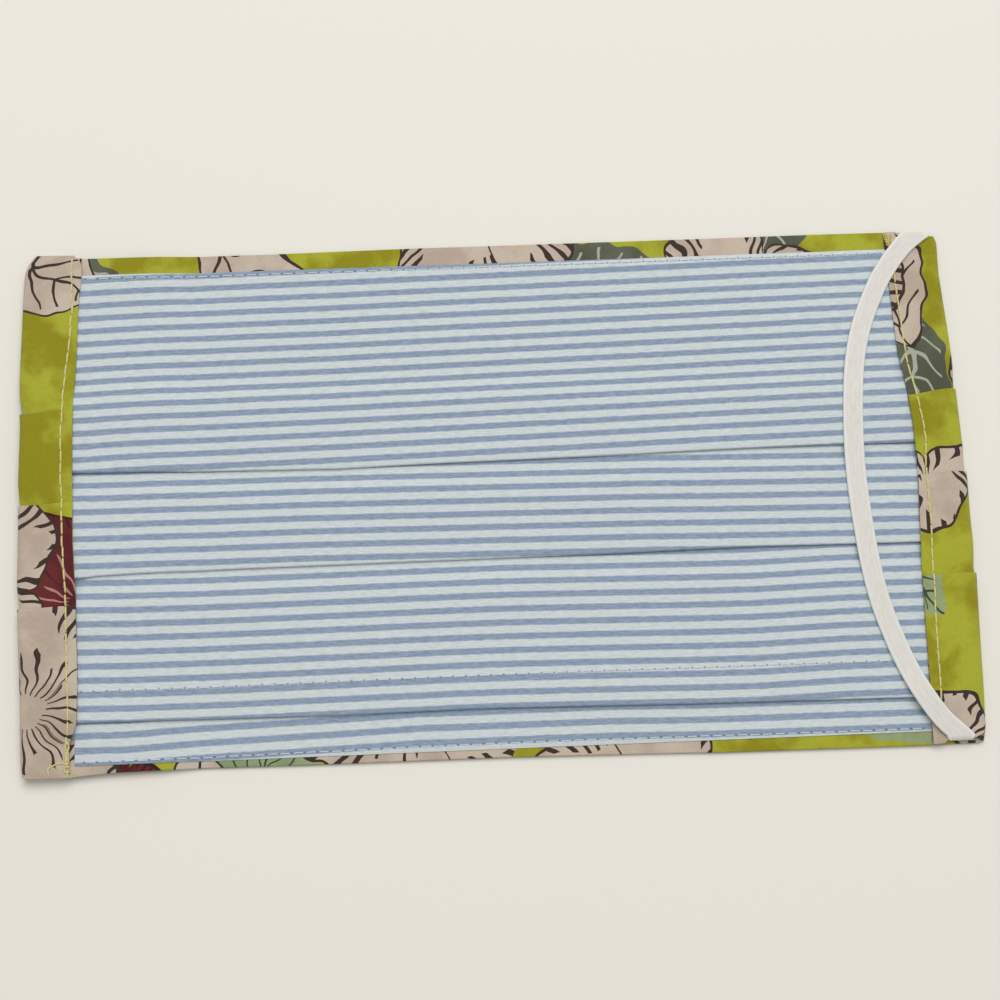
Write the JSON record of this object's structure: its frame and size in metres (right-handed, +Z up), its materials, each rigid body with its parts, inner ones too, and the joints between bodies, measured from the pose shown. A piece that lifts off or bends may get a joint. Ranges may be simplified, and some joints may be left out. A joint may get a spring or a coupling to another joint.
{
  "type": "pleated cloth face mask",
  "caption": "Pleated cloth face mask lying flat, lining side up, with side casings and flat elastic ear loops, one folded over the lining and one under the mask",
  "frame": {"origin": "middle of the mask's outline, on the plane it rests on", "axes": "+X along the pleats towards the ear loop that lies on top, +Y across the pleats, +Z up from the rest plane through the lining side"},
  "size_m": [0.1907, 0.1086, 0.0099],
  "materials": {
    "outer_cloth": "plain-woven printed cotton",
    "lining": "plain-woven striped cotton",
    "elastic": "flat ribbed elastic"
  },
  "bodies": {
    "root": {"outer_cloth": "outer_cloth", "lining": "lining", "ear_loop_right": "elastic", "ear_loop_left": "elastic"}
  },
  "joints": []
}
